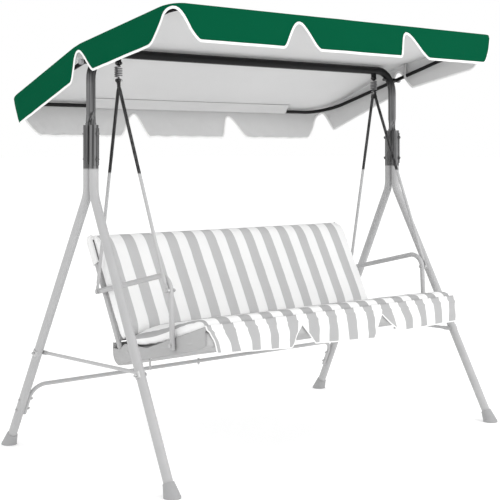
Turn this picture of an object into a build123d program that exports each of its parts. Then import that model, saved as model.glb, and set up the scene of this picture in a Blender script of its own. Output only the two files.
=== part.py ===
"""Canopy swing bench: a tubular A-frame, a spring-hung padded bench and a tilting fabric canopy.

Frame: millimetres, +Z up, +X to the bench's right as seen from the front, -Y to the front.
The origin is on the ground, at the centre of the bench's overall box.
"""
from build123d import *
from math import sqrt
import os

os.makedirs("parts", exist_ok=True)

# ---- driving dimensions -------------------------------------------------------------------------
post_spacing = 1700          # between the two upright posts
post_y = 9                   # the posts stand a little behind the middle of the footprint
set_back = 10                # from the middle of the footprint to the middle of the overall box
foot_splay = 38              # each foot stands this far outside its post
foot_reach = 525             # front and rear feet, from the middle of the footprint
tube_d = 35                  # legs and top tube
tube_wall = 1.2
knee_z = 1018                # where the leg tubes turn upright
knee_radius = 120
leg_top_z = 1278
tongue_t = 5                 # flattened end of the top tube, held between the leg tubes
tongue_w = 46
crossbar_z = 1552
crossbar_radius = 100

side_bar_z = 390
side_bar_d = 13
base_bar_z = 250
base_bar_d = 16
base_bolt_zs = (150, 192)

hanger_x = 723               # plane of the springs and hanger tubes
swing_z = 1516               # pin that the spring hooks on
apex_z = 1450                # bolt at the top of the hanger tubes
hanger_d = 13
arm_bolt_rear = (153, 634)   # (y, z) of the armrest's rear bolt
arm_bolt_front = (-292, 673)
arm_bolt_low = (-301, 473)
armrest_x = 707.5
armrest_d = 20

bench_half = 695             # half the width of the cushions
rail_x = 685                 # side rails of the seat and back frames
rail_d = 20
rail_wall = 1.5
seat_rear = (38, 400.5)      # (y, z) where the seat rail and the back tube would meet
seat_front = (-471, 509)     # front end of the seat rail
back_top = (248, 828)        # top rail of the back

canopy_half = 903
canopy_front = (-537, 1687)  # (y, z) of the roof's front edge
canopy_ridge = (25, 1576)
canopy_rear = (526, 1374)
cloth_t = 3
frame_d = 16                 # canopy frame tubes
frame_x = 880
frame_front = (-524, 1672)   # (y, z) of the front bar
frame_rear = (484, 1372)     # (y, z) of the rear bar
frame_front_radius = 60
frame_rear_radius = 140
tilt_y = 9                   # bolt that the canopy frame turns on
tilt_z = 1513.4

bolt_d = 8
bolt_head_w = 13
bolt_head_h = 5.3
nut_h = 6.5
fit = 0.05                   # radial clearance of bolts, pins and plugged tubes
touch = 0.1                  # gap between surfaces that bear on each other

post_x = post_spacing / 2
foot_x = post_x + foot_splay
tube_r = tube_d / 2
leg_offset = tube_r + tongue_t / 2 + touch   # each leg tube stands this far from the post plane
sides = {"left": -1, "right": 1}


# ---- helpers ------------------------------------------------------------------------------------
def save(builder, name):
    """Move a finished piece so that the origin is the middle of the overall box, label and write it."""
    placed = builder.part.moved(Location((0, set_back, 0)))
    placed.label = name
    export_step(placed, f"parts/{name}.step")


def along(start, end, amount):
    """The point that lies this far from start towards end."""
    return Vector(*start) + (Vector(*end) - Vector(*start)).normalized() * amount


def add_tube(points, radii, outer_d, wall):
    """Add a round tube that follows the points, with a bend of the given radius at each corner."""
    start = Vector(*points[0])
    with BuildLine() as route:
        if len(points) > 2:
            FilletPolyline(*points, radius=radii)
        else:
            Line(*points)
    with BuildSketch(Plane(origin=start, z_dir=Vector(*points[1]) - start)) as section:
        Circle(outer_d / 2)
        if wall:
            Circle(outer_d / 2 - wall, mode=Mode.SUBTRACT)
    sweep(section.sketch, path=route.wire())


def add_disc(plane, radius, height, hole_r=0.0):
    """Add a round disc or collar that stands on the plane."""
    with BuildSketch(plane) as disc:
        Circle(radius)
        if hole_r:
            Circle(hole_r, mode=Mode.SUBTRACT)
    extrude(disc.sketch, amount=height)


def cut_hole(plane, radius, depth):
    """Cut a round hole both ways from the plane."""
    with BuildSketch(plane) as hole:
        Circle(radius)
    extrude(hole.sketch, amount=depth, both=True, mode=Mode.SUBTRACT)


def add_bolt(plane, grip, diameter=bolt_d, head_w=bolt_head_w, head_h=bolt_head_h):
    """Add a hexagon bolt: the head stands behind the plane, the shank runs along its normal."""
    with BuildSketch(plane) as head:
        RegularPolygon(radius=head_w / 2, side_count=6, major_radius=False)
    extrude(head.sketch, amount=-head_h)
    add_disc(plane, diameter / 2, grip)


def add_nut(plane, diameter=bolt_d, width=bolt_head_w, height=nut_h):
    """Add a hexagon nut that stands on the plane."""
    with BuildSketch(plane) as ring:
        RegularPolygon(radius=width / 2, side_count=6, major_radius=False)
        Circle(diameter / 2 + fit, mode=Mode.SUBTRACT)
    extrude(ring.sketch, amount=height)


def add_flat_end(hole, towards, thin, tube_r, flat_w, flat_t, flat_len, taper, hole_r):
    """Add a flattened tube end: a drilled tab round the hole, then a taper up to the round tube.

    Returns the point where the round tube starts. thin is the direction in which the end is flat.
    """
    run = (Vector(*towards) - Vector(*hole)).normalized()
    with BuildSketch(Plane(origin=hole, x_dir=run, z_dir=thin)) as tab:
        Circle(flat_w / 2)
        with Locations((flat_len / 2, 0)):
            Rectangle(flat_len, flat_w)
        Circle(hole_r, mode=Mode.SUBTRACT)
    extrude(tab.sketch, amount=flat_t / 2, both=True)
    root = Plane(origin=Vector(*hole) + run * flat_len, x_dir=thin, z_dir=run)
    with BuildSketch(root) as flat:
        Ellipse(flat_t / 2, flat_w / 2)
    with BuildSketch(root.offset(taper)) as full:
        Circle(tube_r)
    loft([flat.sketch, full.sketch])
    return Vector(*hole) + run * (flat_len + taper)


def add_plug(plane, outer_d, wall, length):
    """Add the reduced end of a tube, which slides into the bore of the next one."""
    root = 8                 # the reduced end is rooted this deep in its own tube
    add_disc(plane.offset(-root), (outer_d - wall) / 2, root - 1)
    add_disc(plane.offset(-root), outer_d / 2 - wall - fit, length + root)


def across(x, y, z, outward):
    """A plane whose normal is +X or -X, for bolts that run across the bench."""
    return Plane(origin=(x, y, z), x_dir=(0, 1, 0), z_dir=(outward, 0, 0))


def through(x, y, z, rearward):
    """A plane whose normal is +Y or -Y, for bolts that run front to back."""
    return Plane(origin=(x, y, z), x_dir=(1, 0, 0), z_dir=(0, rearward, 0))


# ---- A-frame ------------------------------------------------------------------------------------
post_bolt_zs = (1150, 1245)
cap_h = 46
cap_base_r = 31
cap_top_r = 21
cap_floor = 12
cap_sole = 5
leg_ends = {"front": -1, "rear": 1}


def leg_points(side, end):
    """Ground point, knee and top of one leg tube's axis."""
    knee_y = post_y + end * leg_offset
    return [(side * foot_x, end * foot_reach, 0), (side * post_x, knee_y, knee_z),
            (side * post_x, knee_y, leg_top_z)]


def leg_at(side, end, z):
    """The point of the sloping part of a leg's axis at this height."""
    ground, knee, _ = leg_points(side, end)
    share = z / knee_z
    return Vector(*ground) + (Vector(*knee) - Vector(*ground)) * share


side_bolt_r = 3
for end_name, end in leg_ends.items():
    for side_name, side in sides.items():
        _, knee, top = leg_points(side, end)
        with BuildPart() as leg:
            add_tube([top, knee, tuple(leg_at(side, end, cap_floor))], knee_radius, tube_d, tube_wall)
            for z in post_bolt_zs:
                cut_hole(through(side * post_x, knee[1], z, 1), bolt_d / 2 + fit, tube_d)
            cross = leg_at(side, end, side_bar_z)
            cut_hole(across(cross.X, cross.Y, cross.Z, 1), side_bolt_r + fit, tube_d)
            if end > 0:
                for z in base_bolt_zs:
                    cross = leg_at(side, end, z)
                    cut_hole(across(cross.X, cross.Y, cross.Z, 1), side_bolt_r + fit, tube_d)
        save(leg, f"{end_name}_leg_{side_name}")


with BuildPart() as foot_caps:
    for end in leg_ends.values():
        for side in sides.values():
            ground, knee, _ = leg_points(side, end)
            axis = Vector(*knee) - Vector(*ground)
            with BuildSketch(Plane(origin=ground)):
                Circle(cap_base_r)
            extrude(amount=cap_sole)
            with BuildSketch(Plane(origin=(ground[0], ground[1], cap_sole))):
                Circle(cap_base_r)
            with BuildSketch(Plane(origin=leg_at(side, end, cap_h), z_dir=axis)):
                Circle(cap_top_r)
            loft()
            socket = Plane(origin=leg_at(side, end, cap_floor), z_dir=axis)
            with BuildSketch(socket.offset(-touch)):
                Circle(tube_r + fit)
            extrude(amount=cap_h * 2, mode=Mode.SUBTRACT)
save(foot_caps, "foot_caps")

tongue_low = post_bolt_zs[0]
tongue_high = 1285
tongue_taper = 45
with BuildPart() as top_tube:
    round_start = tongue_high + tongue_taper
    ends = [(-post_x, post_y, round_start), (post_x, post_y, round_start)]
    corners = [(-post_x, post_y, crossbar_z), (post_x, post_y, crossbar_z)]
    add_tube([ends[0], corners[0], corners[1], ends[1]], crossbar_radius, tube_d, tube_wall)
    for side in sides.values():
        hole = (side * post_x, post_y, tongue_low)
        add_flat_end(hole, (side * post_x, post_y, crossbar_z), (0, 1, 0), tube_r, tongue_w, tongue_t,
                     tongue_high - tongue_low, tongue_taper, bolt_d / 2 + fit)
        cut_hole(through(side * post_x, post_y, post_bolt_zs[1], 1), bolt_d / 2 + fit, tongue_t)
        cut_hole(across(side * post_x, tilt_y, tilt_z, 1), bolt_d / 2 + fit, 2 * tube_d)
save(top_tube, "top_tube")

plate_t = 3
plate_w = 24
plate_low = 1127
plate_high = 1266
front_tube_y = post_y - leg_offset
with BuildPart() as post_plates:
    for side in sides.values():
        with BuildSketch(Plane.XY.offset(plate_low)):
            with Locations((side * post_x, front_tube_y)):
                Circle(tube_r + touch + plate_t)
                Circle(tube_r + touch, mode=Mode.SUBTRACT)
            with Locations((side * post_x, front_tube_y - tube_r)):
                Rectangle(plate_w, tube_r, mode=Mode.INTERSECT)
        extrude(amount=plate_high - plate_low)
        for z in post_bolt_zs:
            cut_hole(through(side * post_x, front_tube_y - tube_r, z, 1), bolt_d / 2 + fit, 10)
save(post_plates, "post_plates")

plate_face_y = front_tube_y - tube_r - touch - plate_t
rear_face_y = post_y + leg_offset + tube_r
with BuildPart() as post_bolts:
    for side in sides.values():
        for z in post_bolt_zs:
            add_bolt(through(side * post_x, plate_face_y - touch, z, 1),
                     rear_face_y - plate_face_y + nut_h + 4)
save(post_bolts, "post_bolts")

# ---- side bars and rear base bar ----------------------------------------------------------------
flat_t = 3
flat_w = 17
side_flat_len = 30
taper = 14
saddle_t = 2.5
saddle_w = 26
saddle_len = 24
side_head_w = 10
side_head_h = 4
side_nut_h = 5
brace_gap = 0.5              # the legs lean, so a flat end stands off by this much
for side_name, side in sides.items():
    front_hole = leg_at(side, -1, side_bar_z)
    rear_hole = leg_at(side, 1, side_bar_z)
    tab_x = front_hole.X - side * (tube_r + brace_gap + flat_t / 2)
    front_end = (tab_x, front_hole.Y, side_bar_z)
    rear_end = (tab_x, rear_hole.Y, side_bar_z)
    with BuildPart() as side_bar:
        first = add_flat_end(front_end, rear_end, (1, 0, 0), side_bar_d / 2, flat_w, flat_t,
                             side_flat_len, taper, side_bolt_r + fit)
        last = add_flat_end(rear_end, front_end, (1, 0, 0), side_bar_d / 2, flat_w, flat_t,
                            side_flat_len, taper, side_bolt_r + fit)
        add_tube([tuple(first), tuple(last)], None, side_bar_d, tube_wall)
    save(side_bar, f"side_bar_{side_name}")

with BuildPart() as side_saddles:
    for side in sides.values():
        for end in leg_ends.values():
            cross = leg_at(side, end, side_bar_z)
            ground, knee, _ = leg_points(side, end)
            axis = Vector(*knee) - Vector(*ground)
            saddle_plane = Plane(origin=cross, x_dir=(side, 0, 0), z_dir=axis)
            with BuildSketch(saddle_plane.offset(-saddle_len / 2)):
                Circle(tube_r + touch + saddle_t)
                Circle(tube_r + touch, mode=Mode.SUBTRACT)
                with Locations((tube_r, 0)):
                    Rectangle(tube_r, saddle_w, mode=Mode.INTERSECT)
            extrude(amount=saddle_len)
            cut_hole(across(cross.X + side * tube_r, cross.Y, cross.Z, side), side_bolt_r + fit, 9)
save(side_saddles, "side_bar_saddles")

with BuildPart() as side_bolts:
    for side in sides.values():
        for end in leg_ends.values():
            cross = leg_at(side, end, side_bar_z)
            head_x = cross.X - side * (tube_r + flat_t + brace_gap + touch)
            grip = 2 * tube_r + flat_t + saddle_t + side_nut_h + 5
            add_bolt(across(head_x, cross.Y, cross.Z, side), grip, 2 * side_bolt_r, side_head_w,
                     side_head_h)
save(side_bolts, "side_bar_bolts")

base_end_z = 130
base_bend = 60
base_joint_x = 47
base_plug_len = 87
base_inset = tube_r + base_bar_d / 2 + 2 * touch
base_corner_y = leg_at(1, 1, base_bar_z).Y


def base_at(side, z):
    """The axis of the base bar where it lies along the inner side of a rear leg."""
    beside = leg_at(side, 1, z)
    return Vector(beside.X - side * base_inset, beside.Y, z)


for side_name, side in sides.items():
    with BuildPart() as base_bar:
        joint_x = base_joint_x - touch if side < 0 else base_joint_x
        add_tube([(joint_x, base_corner_y, base_bar_z), tuple(base_at(side, base_bar_z)),
                  tuple(base_at(side, base_end_z))], base_bend, base_bar_d, tube_wall)
        if side > 0:
            add_plug(across(joint_x, base_corner_y, base_bar_z, -1), base_bar_d, tube_wall,
                     base_plug_len)
        cut_hole(Plane(origin=(base_joint_x - base_plug_len / 2, base_corner_y, base_bar_z)),
                 side_bolt_r + fit, base_bar_d)
        for z in base_bolt_zs:
            cross = base_at(side, z)
            cut_hole(across(cross.X, cross.Y, cross.Z, 1), side_bolt_r + fit, base_bar_d)
    save(base_bar, f"base_bar_{side_name}")

with BuildPart() as base_bolts:
    for side in sides.values():
        for z in base_bolt_zs:
            cross = leg_at(side, 1, z)
            head_x = cross.X + side * (tube_r + 0.3)
            grip = 2 * tube_r + base_bar_d + side_nut_h + 7
            add_bolt(across(head_x, cross.Y, z, -side), grip, 2 * side_bolt_r, side_head_w, side_head_h)
    joint_top = Plane(origin=(base_joint_x - base_plug_len / 2, base_corner_y,
                              base_bar_z + base_bar_d / 2 + touch), z_dir=(0, 0, -1))
    add_bolt(joint_top, base_bar_d + side_nut_h + 4, 2 * side_bolt_r, side_head_w, side_head_h)
save(base_bolts, "base_bar_bolts")
with BuildPart() as brace_nuts:
    for side in sides.values():
        for end in leg_ends.values():
            cross = leg_at(side, end, side_bar_z)
            nut_x = cross.X + side * (tube_r + saddle_t + 4 * touch + 0.3)
            add_nut(across(nut_x, cross.Y, cross.Z, side), 2 * side_bolt_r, side_head_w, side_nut_h)
        for z in base_bolt_zs:
            cross = base_at(side, z)
            add_nut(across(cross.X - side * (base_bar_d / 2 + 0.4), cross.Y, z, -side),
                    2 * side_bolt_r, side_head_w, side_nut_h)
    joint_under = Plane(origin=(base_joint_x - base_plug_len / 2, base_corner_y,
                                base_bar_z - base_bar_d / 2 - touch), z_dir=(0, 0, -1))
    add_nut(joint_under, 2 * side_bolt_r, side_head_w, side_nut_h)
save(brace_nuts, "brace_nuts")

# ---- spring hangers -----------------------------------------------------------------------------
wire_d = 4
loop_r = bolt_d / 2 + fit + wire_d / 2
coil_r = 14
coil_top = 1500
coil_low = 1466
coil_turns = 5
ear_t = 3
ear_gap = wire_d / 2 + 0.3
ear_w = 24
ear_tip_r = 10
web_h = 6                    # the web that joins the two ears under the top tube
for side_name, side in sides.items():
    with BuildPart() as bracket:
        for face in (-1, 1):
            ear_x = side * hanger_x + face * (ear_gap + ear_t / 2)
            with BuildSketch(Plane.YZ.offset(ear_x)):
                with BuildLine():
                    Polyline((post_y - ear_w / 2, crossbar_z), (post_y + ear_w / 2, crossbar_z),
                             (post_y + ear_tip_r, swing_z), (post_y - ear_tip_r, swing_z), close=True)
                make_face()
                with Locations((post_y, swing_z)):
                    Circle(ear_tip_r)
                    Circle(bolt_d / 2 + fit, mode=Mode.SUBTRACT)
            extrude(amount=ear_t / 2, both=True)
        with Locations((side * hanger_x, post_y, crossbar_z - tube_r)):
            Box(2 * (ear_gap + ear_t), ear_w - 2.4, web_h)
        with BuildSketch(Plane.YZ.offset(side * hanger_x)):
            with Locations((post_y, crossbar_z)):
                Circle(tube_r + touch)
        extrude(amount=ear_w, both=True, mode=Mode.SUBTRACT)
    save(bracket, f"hanger_bracket_{side_name}")

with BuildPart() as spring_right:
    with BuildLine() as coil_line:
        Helix(pitch=(coil_top - coil_low) / coil_turns, height=coil_top - coil_low, radius=coil_r,
              center=(hanger_x, post_y, coil_low))
    with BuildSketch(Plane(origin=coil_line.line @ 0, z_dir=coil_line.line % 0)):
        Circle(wire_d / 2)
    sweep(is_frenet=True)
    for coil_z, loop_z, inward in ((coil_top, swing_z, -1), (coil_low, apex_z, 1)):
        with Locations(Location((hanger_x, post_y, loop_z), (0, 90, 0))):
            Torus(loop_r, wire_d / 2)
        add_tube([(hanger_x + coil_r, post_y, coil_z), (hanger_x, post_y, coil_z),
                  (hanger_x, post_y, loop_z + inward * loop_r)], 3, wire_d, 0)
        with Locations((hanger_x + coil_r, post_y, coil_z)):
            Sphere(wire_d / 2)
save(spring_right, "spring_right")
with BuildPart() as spring_left:
    with Locations((-2 * hanger_x, 0, 0)):
        add(spring_right.part)
save(spring_left, "spring_left")

pin_grip = 2 * (ear_gap + ear_t) + nut_h + 4
with BuildPart() as pins:
    for side in sides.values():
        face_x = side * (hanger_x + ear_gap + ear_t + touch)
        add_bolt(across(face_x, post_y, swing_z, -side), pin_grip)
save(pins, "swing_pins")
with BuildPart() as stand_nuts:
    for side in sides.values():
        face_x = side * (hanger_x - ear_gap - ear_t - touch)
        add_nut(across(face_x, post_y, swing_z, -side))
        for z in post_bolt_zs:
            add_nut(through(side * post_x, rear_face_y + touch, z, 1))
save(stand_nuts, "stand_nuts")

tab_offset = wire_d / 2 + touch + flat_t / 2
rear_plane_x = hanger_x - tab_offset
front_plane_x = hanger_x + tab_offset
hanger_ends = {"rear": (rear_plane_x, arm_bolt_rear), "front": (front_plane_x, arm_bolt_front)}
for side_name, side in sides.items():
    for end_name, (plane_x, (low_y, low_z)) in hanger_ends.items():
        high = (side * plane_x, post_y, apex_z)
        low = (side * plane_x, low_y, low_z)
        with BuildPart() as hanger:
            first = add_flat_end(high, low, (1, 0, 0), hanger_d / 2, flat_w, flat_t, 26, taper,
                                 bolt_d / 2 + fit)
            last = add_flat_end(low, high, (1, 0, 0), hanger_d / 2, flat_w, flat_t, 20, taper,
                                bolt_d / 2 + fit)
            add_tube([tuple(first), tuple(last)], None, hanger_d, tube_wall)
        save(hanger, f"hanger_{end_name}_{side_name}")

with BuildPart() as apex_bolts:
    for side in sides.values():
        face_x = side * (front_plane_x + flat_t / 2 + touch)
        add_bolt(across(face_x, post_y, apex_z, -side), 2 * tab_offset + flat_t + nut_h + 4)
save(apex_bolts, "apex_bolts")

# ---- armrests -----------------------------------------------------------------------------------
armrest_r = armrest_d / 2
armrest_bend = 56
armrest_corner = (-288, 735)
armrest_over = 16            # the tube runs this far past its end bolts
plug_t = 3
plug_depth = 8
for side_name, side in sides.items():
    x = side * armrest_x
    corner = (x, *armrest_corner)
    rear_tip = along((x, *arm_bolt_rear), corner, -armrest_over)
    low_tip = along((x, *arm_bolt_low), corner, -armrest_over)
    with BuildPart() as armrest:
        add_tube([tuple(rear_tip), corner, tuple(low_tip)], armrest_bend, armrest_d, rail_wall)
        for y, z in (arm_bolt_rear, arm_bolt_low, arm_bolt_front):
            cut_hole(across(x, y, z, 1), bolt_d / 2 + fit, armrest_d)
    save(armrest, f"armrest_{side_name}")

with BuildPart() as plugs:
    for side in sides.values():
        x = side * armrest_x
        corner = (x, *armrest_corner)
        for y, z in (arm_bolt_rear, arm_bolt_low):
            tip = along((x, y, z), corner, -armrest_over - touch)
            plug_plane = Plane(origin=tip, z_dir=tip - Vector(*corner))
            add_disc(plug_plane, armrest_r, plug_t)
            add_disc(plug_plane, armrest_r - rail_wall - fit, -plug_depth)
save(plugs, "armrest_plugs")

# ---- seat and back frames -----------------------------------------------------------------------
rail_r = rail_d / 2
back_bend = 35
joint_y = 6                  # the back tube ends here and plugs into the seat rail
joint_plug_len = 46
frame_bolt = (-11, 411)
back_run = (Vector(0, *back_top) - Vector(0, *seat_rear)).normalized()
seat_run = (Vector(0, *seat_front) - Vector(0, *seat_rear)).normalized()


def on_seat(x, distance, lift=0.0):
    """A point on the seat rails' line, this far forward of its rear corner and lifted off it."""
    spot = Vector(0, *seat_rear) + seat_run * distance
    return Vector(x, spot.Y + seat_run.Z * lift, spot.Z - seat_run.Y * lift)


def on_back(x, distance, lift=0.0):
    """A point on the back tubes' line, this far up from its lower corner and lifted forward."""
    spot = Vector(0, *seat_rear) + back_run * distance
    return Vector(x, spot.Y - back_run.Z * lift, spot.Z + back_run.Y * lift)


joint_at = (seat_rear[0] - joint_y) / -seat_run.Y
front_at = (seat_rear[0] - seat_front[0]) / -seat_run.Y
top_at = (Vector(0, *back_top) - Vector(0, *seat_rear)).length
for side_name, side in sides.items():
    x = side * rail_x
    with BuildPart() as seat_side:
        add_tube([tuple(on_seat(x, joint_at + touch)), tuple(on_seat(x, front_at))], None, rail_d,
                 rail_wall)
        for y, z in (frame_bolt, arm_bolt_low):
            cut_hole(across(x, y, z, 1), bolt_d / 2 + fit, rail_d)
    save(seat_side, f"seat_side_{side_name}")

    with BuildPart() as back_side:
        add_tube([tuple(on_back(x, top_at)), (x, *seat_rear), tuple(on_seat(x, joint_at))], back_bend,
                 rail_d, rail_wall)
        add_plug(Plane(origin=on_seat(x, joint_at), z_dir=seat_run), rail_d, rail_wall, joint_plug_len)
        cut_hole(across(x, *frame_bolt, 1), bolt_d / 2 + fit, rail_d)
        cut_hole(across(x, *arm_bolt_rear, 1), bolt_d / 2 + fit, rail_d)
    save(back_side, f"back_side_{side_name}")

rail_half = rail_x - rail_r - touch
rails = {"seat_front_rail": on_seat(0, front_at - 12), "back_top_rail": on_back(0, top_at - 14),
         "back_low_rail": on_back(0, 62)}
for name, centre in rails.items():
    with BuildPart() as rail:
        add_tube([(-rail_half, centre.Y, centre.Z), (rail_half, centre.Y, centre.Z)], None, rail_d,
                 rail_wall)
    save(rail, name)

inner_face = rail_x - rail_r - touch
with BuildPart() as arm_bolts:
    for side in sides.values():
        rear_face = side * (rear_plane_x + flat_t / 2 + touch)
        add_bolt(across(rear_face, *arm_bolt_rear, -side), side * rear_face - inner_face + nut_h + 3)
        front_face = side * (front_plane_x + flat_t / 2 + touch)
        add_bolt(across(front_face, *arm_bolt_front, -side),
                 side * front_face - armrest_x + armrest_r + nut_h + 3)
        low_face = side * (armrest_x + armrest_r + touch)
        add_bolt(across(low_face, *arm_bolt_low, -side), side * low_face - inner_face + nut_h + 3)
save(arm_bolts, "armrest_bolts")
with BuildPart() as seat_nuts:
    for side in sides.values():
        apex_face_x = side * (rear_plane_x - flat_t / 2 - touch)
        add_nut(across(apex_face_x, post_y, apex_z, -side))
        add_nut(across(side * inner_face, *frame_bolt, -side))
        add_nut(across(side * inner_face, *arm_bolt_rear, -side))
        add_nut(across(side * (armrest_x - armrest_r - touch), *arm_bolt_front, -side), height=5)
        add_nut(across(side * inner_face, *arm_bolt_low, -side))
save(seat_nuts, "seat_nuts")
with BuildPart() as spacers:
    for side in sides.values():
        start = armrest_x + armrest_r + touch
        add_disc(across(side * start, *arm_bolt_front, side), 8,
                 front_plane_x - flat_t / 2 - touch - start, bolt_d / 2 + fit)
save(spacers, "hanger_spacers")
with BuildPart() as frame_bolts:
    for side in sides.values():
        add_bolt(across(side * (rail_x + rail_r + touch), *frame_bolt, -side), rail_d + nut_h + 3,
                 head_w=11, head_h=1.6)
save(frame_bolts, "frame_bolts")

# ---- fabric of the bench ------------------------------------------------------------------------
sling_lift = rail_r + touch
cushion_lift = sling_lift + cloth_t + 0.3


def add_slab(points, half_width):
    """Add a plain solid with this (y, z) outline, across the bench."""
    with BuildSketch(Plane.YZ) as outline:
        with BuildLine():
            Polyline(*points, close=True)
        make_face()
    extrude(outline.sketch, amount=half_width, both=True)


def yz(point):
    """The (y, z) of a point."""
    return (point.Y, point.Z)


with BuildPart() as seat_sling:
    add_slab([yz(on_seat(0, 48, sling_lift)), yz(on_seat(0, front_at, sling_lift)),
              yz(on_seat(0, front_at, sling_lift + cloth_t)), yz(on_seat(0, 48, sling_lift + cloth_t))],
             bench_half)
save(seat_sling, "seat_sling")
with BuildPart() as back_sling:
    add_slab([yz(on_back(0, 50, sling_lift)), yz(on_back(0, top_at - 4, sling_lift)),
              yz(on_back(0, top_at - 4, sling_lift + cloth_t)),
              yz(on_back(0, 50, sling_lift + cloth_t))], bench_half)
save(back_sling, "back_sling")

with BuildPart() as seat_cushion:
    add_slab([yz(on_seat(0, 44, cushion_lift)), (2, 501), (-436, 579), (-466, 566), (-473, 532),
              yz(on_seat(0, 508, cushion_lift))], bench_half)
save(seat_cushion, "seat_cushion")
with BuildPart() as back_cushion:
    add_slab([yz(on_back(0, 74, cushion_lift)), yz(on_back(0, 466, cushion_lift)),
              yz(on_back(0, 464, 58)), yz(on_back(0, 450, 66)), yz(on_back(0, 90, 74)),
              yz(on_back(0, 80, 66))], bench_half)
save(back_cushion, "back_cushion")

skirt_y = -476
skirt_top = 560
skirt_hem = 446
skirt_notch = 523
skirt_notch_x = 226
skirt_notch_half = 62
with BuildPart() as skirt:
    with BuildSketch(Plane.XZ.offset(-skirt_y)):
        with BuildLine():
            Polyline((-bench_half, skirt_top), (bench_half, skirt_top), (bench_half, skirt_hem),
                     (skirt_notch_x + skirt_notch_half, skirt_hem), (skirt_notch_x, skirt_notch),
                     (skirt_notch_x - skirt_notch_half, skirt_hem),
                     (-skirt_notch_x + skirt_notch_half, skirt_hem), (-skirt_notch_x, skirt_notch),
                     (-skirt_notch_x - skirt_notch_half, skirt_hem), (-bench_half, skirt_hem),
                     close=True)
        make_face()
    extrude(amount=cloth_t)
save(skirt, "seat_skirt")

cover_half = bench_half + 2.4
cover_inner = bench_half + 0.3
cover_low = [(-470, 478), (-206, 415), (-104, 396), (-11, 372), (30, 356), (56, 359), (76, 380),
             (81, 408), (77, 440)]
cover_low_inner = [(-480, 484), (-206, 418.3), (-103, 399), (-10, 375.2), (31, 359.2), (54.5, 362),
                   (73, 381.5), (77.8, 408), (74, 450)]
cover_rim = [(50, 421), (-60, 421), (-470, 557)]
with BuildPart() as seat_cover:
    add_slab(cover_low + cover_rim, cover_half)
    with BuildSketch(Plane.YZ):
        with BuildLine():
            Polyline(*cover_low_inner, (0, 470), (-480, 600), close=True)
        make_face()
    extrude(amount=cover_inner, both=True, mode=Mode.SUBTRACT)
    for side in sides.values():
        for y, z in (arm_bolt_low, frame_bolt):
            cut_hole(across(side * cover_half, y, z, side), bolt_d / 2 + 4, 4)
save(seat_cover, "seat_cover")

strap_y = -146
strap_low = 363
strap_size = (2, 12, 37.5)
with BuildPart() as straps:
    for side in sides.values():
        with Locations((side * (bench_half - 4), strap_y, strap_low)):
            Box(*strap_size, align=(Align.CENTER, Align.CENTER, Align.MIN))
save(straps, "seat_ties")

# ---- canopy -------------------------------------------------------------------------------------
frame_r = frame_d / 2
frame_len = sqrt((frame_rear[0] - frame_front[0]) ** 2 + (frame_rear[1] - frame_front[1]) ** 2)
front_return = 90
rear_return = 180
frame_plug_len = 50
tilt_at = (tilt_y - frame_front[0]) / (frame_rear[0] - frame_front[0]) * frame_len


def on_frame(x, distance):
    """A point on the canopy frame, this far back from its front bar."""
    share = distance / frame_len
    return (x, frame_front[0] + (frame_rear[0] - frame_front[0]) * share,
            frame_front[1] + (frame_rear[1] - frame_front[1]) * share)


for side_name, side in sides.items():
    x = side * frame_x
    with BuildPart() as arm:
        add_tube([on_frame(x, front_return + touch), on_frame(x, frame_len - rear_return - touch)], None,
                 frame_d, tube_wall)
        cut_hole(across(x, tilt_y, tilt_z, 1), bolt_d / 2 + fit, frame_d)
    save(arm, f"canopy_arm_{side_name}")

bars = {"canopy_front_bar": (0, front_return, frame_front_radius),
        "canopy_rear_bar": (frame_len, -rear_return, frame_rear_radius)}
for name, (at, back, bend) in bars.items():
    with BuildPart() as bar:
        add_tube([on_frame(-frame_x, at + back), on_frame(-frame_x, at), on_frame(frame_x, at),
                  on_frame(frame_x, at + back)], bend, frame_d, tube_wall)
        for side in sides.values():
            end = Vector(*on_frame(side * frame_x, at + back))
            inward = end - Vector(*on_frame(side * frame_x, at))
            add_plug(Plane(origin=end, z_dir=inward), frame_d, tube_wall, frame_plug_len)
    save(bar, name)

sleeve_start = 856
with BuildPart() as tilt_sleeves:
    for side in sides.values():
        add_disc(across(side * sleeve_start, tilt_y, tilt_z, side), frame_r,
                 frame_x - frame_r - touch - sleeve_start, bolt_d / 2 + fit)
save(tilt_sleeves, "tilt_sleeves")
tilt_head_x = 795.5
knob_start = frame_x + frame_r + touch
knob_h = 13
knob_r = 11
knob_skin = 3                # plastic left over the end of the bolt
flute_r = 2.2
with BuildPart() as tilt_bolts:
    for side in sides.values():
        add_bolt(across(side * tilt_head_x, tilt_y, tilt_z, side),
                 knob_start + knob_h - knob_skin - tilt_head_x)
save(tilt_bolts, "tilt_bolts")
for side_name, side in sides.items():
    face = across(side * knob_start, tilt_y, tilt_z, side)
    with BuildPart() as knob:
        add_disc(face, knob_r, knob_h)
        fillet(knob.edges().group_by(Axis.X)[-1 if side > 0 else 0], 2.5)
        cut_hole(face, bolt_d / 2 + fit, knob_h - 2.5)
        with BuildSketch(face.offset(2)):
            with PolarLocations(knob_r + 1, 8):
                Circle(flute_r)
        extrude(amount=knob_h, mode=Mode.SUBTRACT)
    save(knob, f"tilt_knob_{side_name}")

tie_y = -51
tie_wall = 2.2
tie_w = 12
tie_tail = (14, 2, 46)       # the ends of the tie, up to the roof
tie_at = (tie_y - frame_front[0]) / (frame_rear[0] - frame_front[0]) * frame_len
with BuildPart() as ties:
    for side in sides.values():
        centre = Vector(*on_frame(side * frame_x, tie_at))
        run = Vector(*on_frame(side * frame_x, tie_at + 1)) - centre
        add_disc(Plane(origin=centre, x_dir=(1, 0, 0), z_dir=run), frame_r + tie_wall, tie_w,
                 frame_r + 0.4)
        with Locations((centre.X, centre.Y + tie_w / 2, centre.Z + frame_r - 1)):
            Box(*tie_tail, align=(Align.CENTER, Align.CENTER, Align.MIN))
save(ties, "canopy_ties")

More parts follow.
